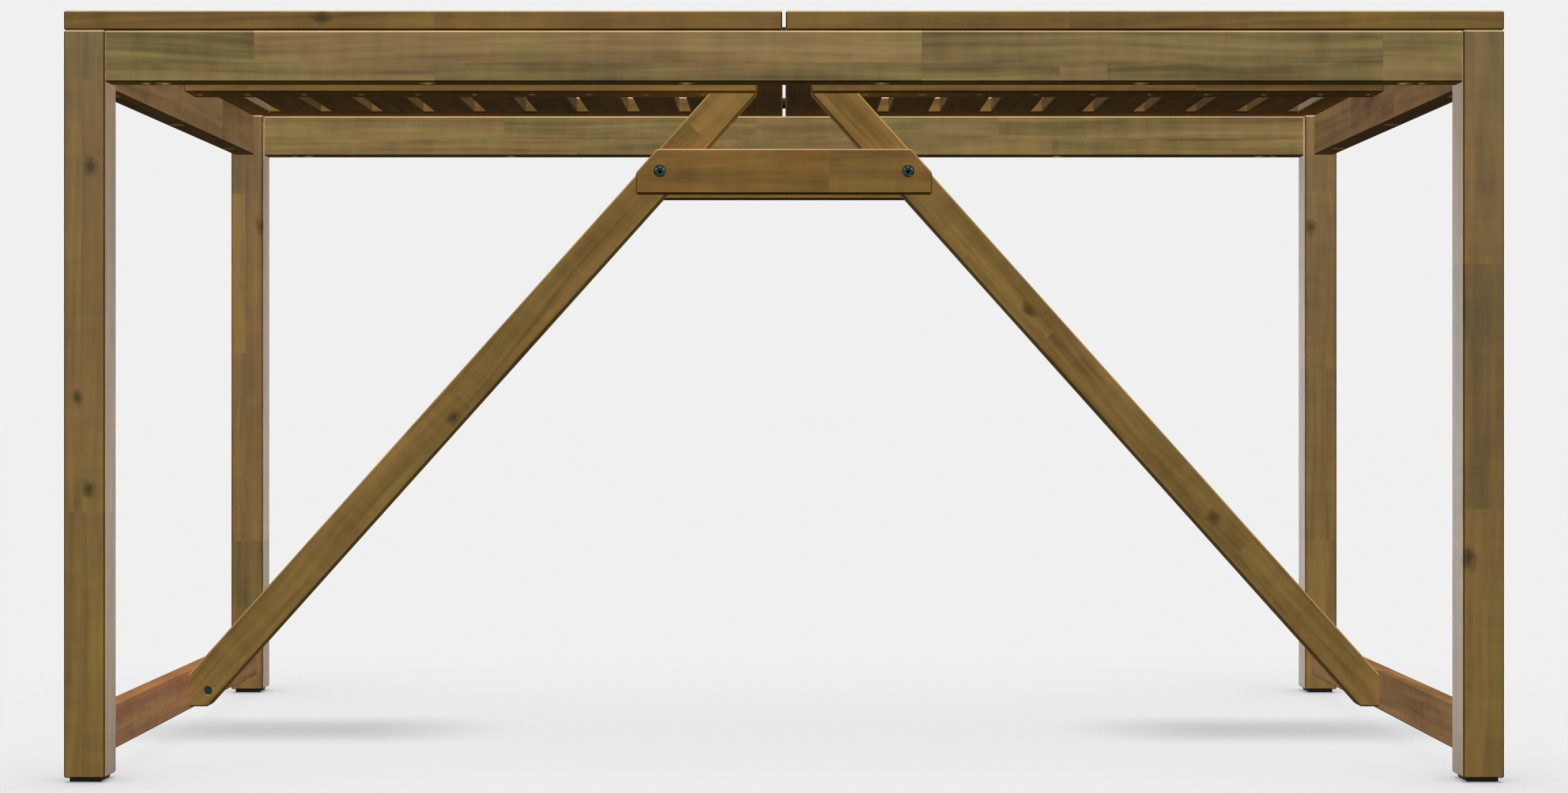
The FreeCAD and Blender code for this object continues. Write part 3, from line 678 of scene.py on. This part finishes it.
def makeSheet(name, length, width, place):
    long, wide = length / 2, width / 2
    mesh = bpy.data.meshes.new(name)
    corners = [(-long, -wide, 0), (long, -wide, 0), (long, wide, 0), (-long, wide, 0)]
    mesh.from_pydata(corners, [], [(0, 1, 2, 3)])
    sheet = bpy.data.objects.new(name, mesh)
    sheet.location = place
    scene.collection.objects.link(sheet)
    return sheet


def makeFloor(values):
    floor = makeSheet("floor", values["size"], values["size"], (0, 0, -values["below"]))
    material = bpy.data.materials.new("paleFloor")
    material.use_nodes = True
    tree = material.node_tree
    tree.nodes.remove(tree.nodes["Principled BSDF"])
    seen = addNode(tree, "BsdfDiffuse", {"Color": (values["albedo"],) * 3 + (1,)})
    unseen = addNode(tree, "Emission", {"Color": values["bounce"], "Strength": 1.0})
    isCamera = addNode(tree, "LightPath").outputs["Is Camera Ray"]
    pick = addNode(tree, "MixShader", {0: isCamera, 1: unseen.outputs[0], 2: seen.outputs[0]})
    tree.links.new(pick.outputs[0], tree.nodes["Material Output"].inputs["Surface"])
    floor.data.materials.append(material)
    return floor


shadeCards = {       # unseen cards that give the long soft shade under each brace's foot
    "length": 0.33,      # metres, as the rest is
    "width": 0.072,
    "height": 0.18,
    "away": 0.55,        # from the table's middle
}


def makeShadeCard(name, side, values):
    place = (side * values["away"], 0, values["height"])
    card = makeSheet(name, values["length"], values["width"], place)
    for kind in ("camera", "diffuse", "glossy", "transmission"):
        setattr(card, "visible_" + kind, False)
    return card


softSuns = {     # name: (comes from, level, angle, colour); none throws a shadow, as in a light tent
    "keySun": ((0.0, -0.70, 0.714), 0.62, 12, (1.0, 1.0, 0.97)),
    "topSun": ((0.0, 0.0, 1.0), 0.44, 24, (1.0, 0.96, 0.92)),
    "leftSun": ((-0.83, 0.10, 0.55), 0.40, 12, (1.0, 0.98, 1.0)),
    "rightSun": ((0.83, 0.10, 0.55), 0.44, 12, (1.0, 0.98, 1.0)),
    "sheenSunLeft": ((-0.27, 0.96, -0.02), 0.093, 18, (1.0, 1.0, 1.03)),
    "sheenSunRight": ((0.27, 0.96, -0.03), 0.065, 18, (1.0, 0.96, 0.98)),
    "lowSun": ((0.0, -0.3, -0.95), 0.017, 30, (1.0, 0.95, 0.85)),
}


def makeSun(name, comesFrom, level, angle, color=(1, 1, 1), shadow=False):
    # level is how bright the sun makes a white sheet that faces it; importance sampling is off
    # for a sun without shadows, because it would let the floor block part of its light
    data = bpy.data.lights.new(name, "SUN")
    data.energy = level * math.pi
    data.angle = math.radians(angle)
    data.color = color
    data.use_shadow = shadow
    data.cycles.use_multiple_importance_sampling = shadow
    sun = bpy.data.objects.new(name, data)
    sun.rotation_euler = Vector(comesFrom).to_track_quat("Z", "Y").to_euler()
    scene.collection.objects.link(sun)
    return sun


def gather(name, objects):
    group = bpy.data.collections.new(name)
    for item in objects:
        group.objects.link(item)
    return group


def makeFloorSun(name, share, values, onFloor, casters=None):
    # straight down on the floor alone; it throws the shadows of the casters, if there are any
    level = values["brightness"] / values["albedo"] * share
    sun = makeSun(name, (0, 0, 1), level, values["softness"], shadow=casters is not None)
    sun.light_linking.receiver_collection = onFloor
    if casters is not None:
        sun.light_linking.blocker_collection = casters


makeSurroundings(surroundings)
floor = makeFloor(floorLook)
for name, values in softSuns.items():
    makeSun(name, *values)
cards = [makeShadeCard("shadeCardLeft", -1, shadeCards),
         makeShadeCard("shadeCardRight", 1, shadeCards)]
standing = [cadNodes[name] for name in cadNodes if name.startswith(("leg_", "foot_pad"))]
onFloor = gather("onFloor", [floor])
casters = gather("casters", cards + standing)
makeFloorSun("floorSun", floorLook["shadowShare"], floorLook, onFloor, casters)
makeFloorSun("floorFill", 1 - floorLook["shadowShare"], floorLook, onFloor)
scene.view_settings.view_transform = "Standard"
print("floor, lights and surroundings ready")
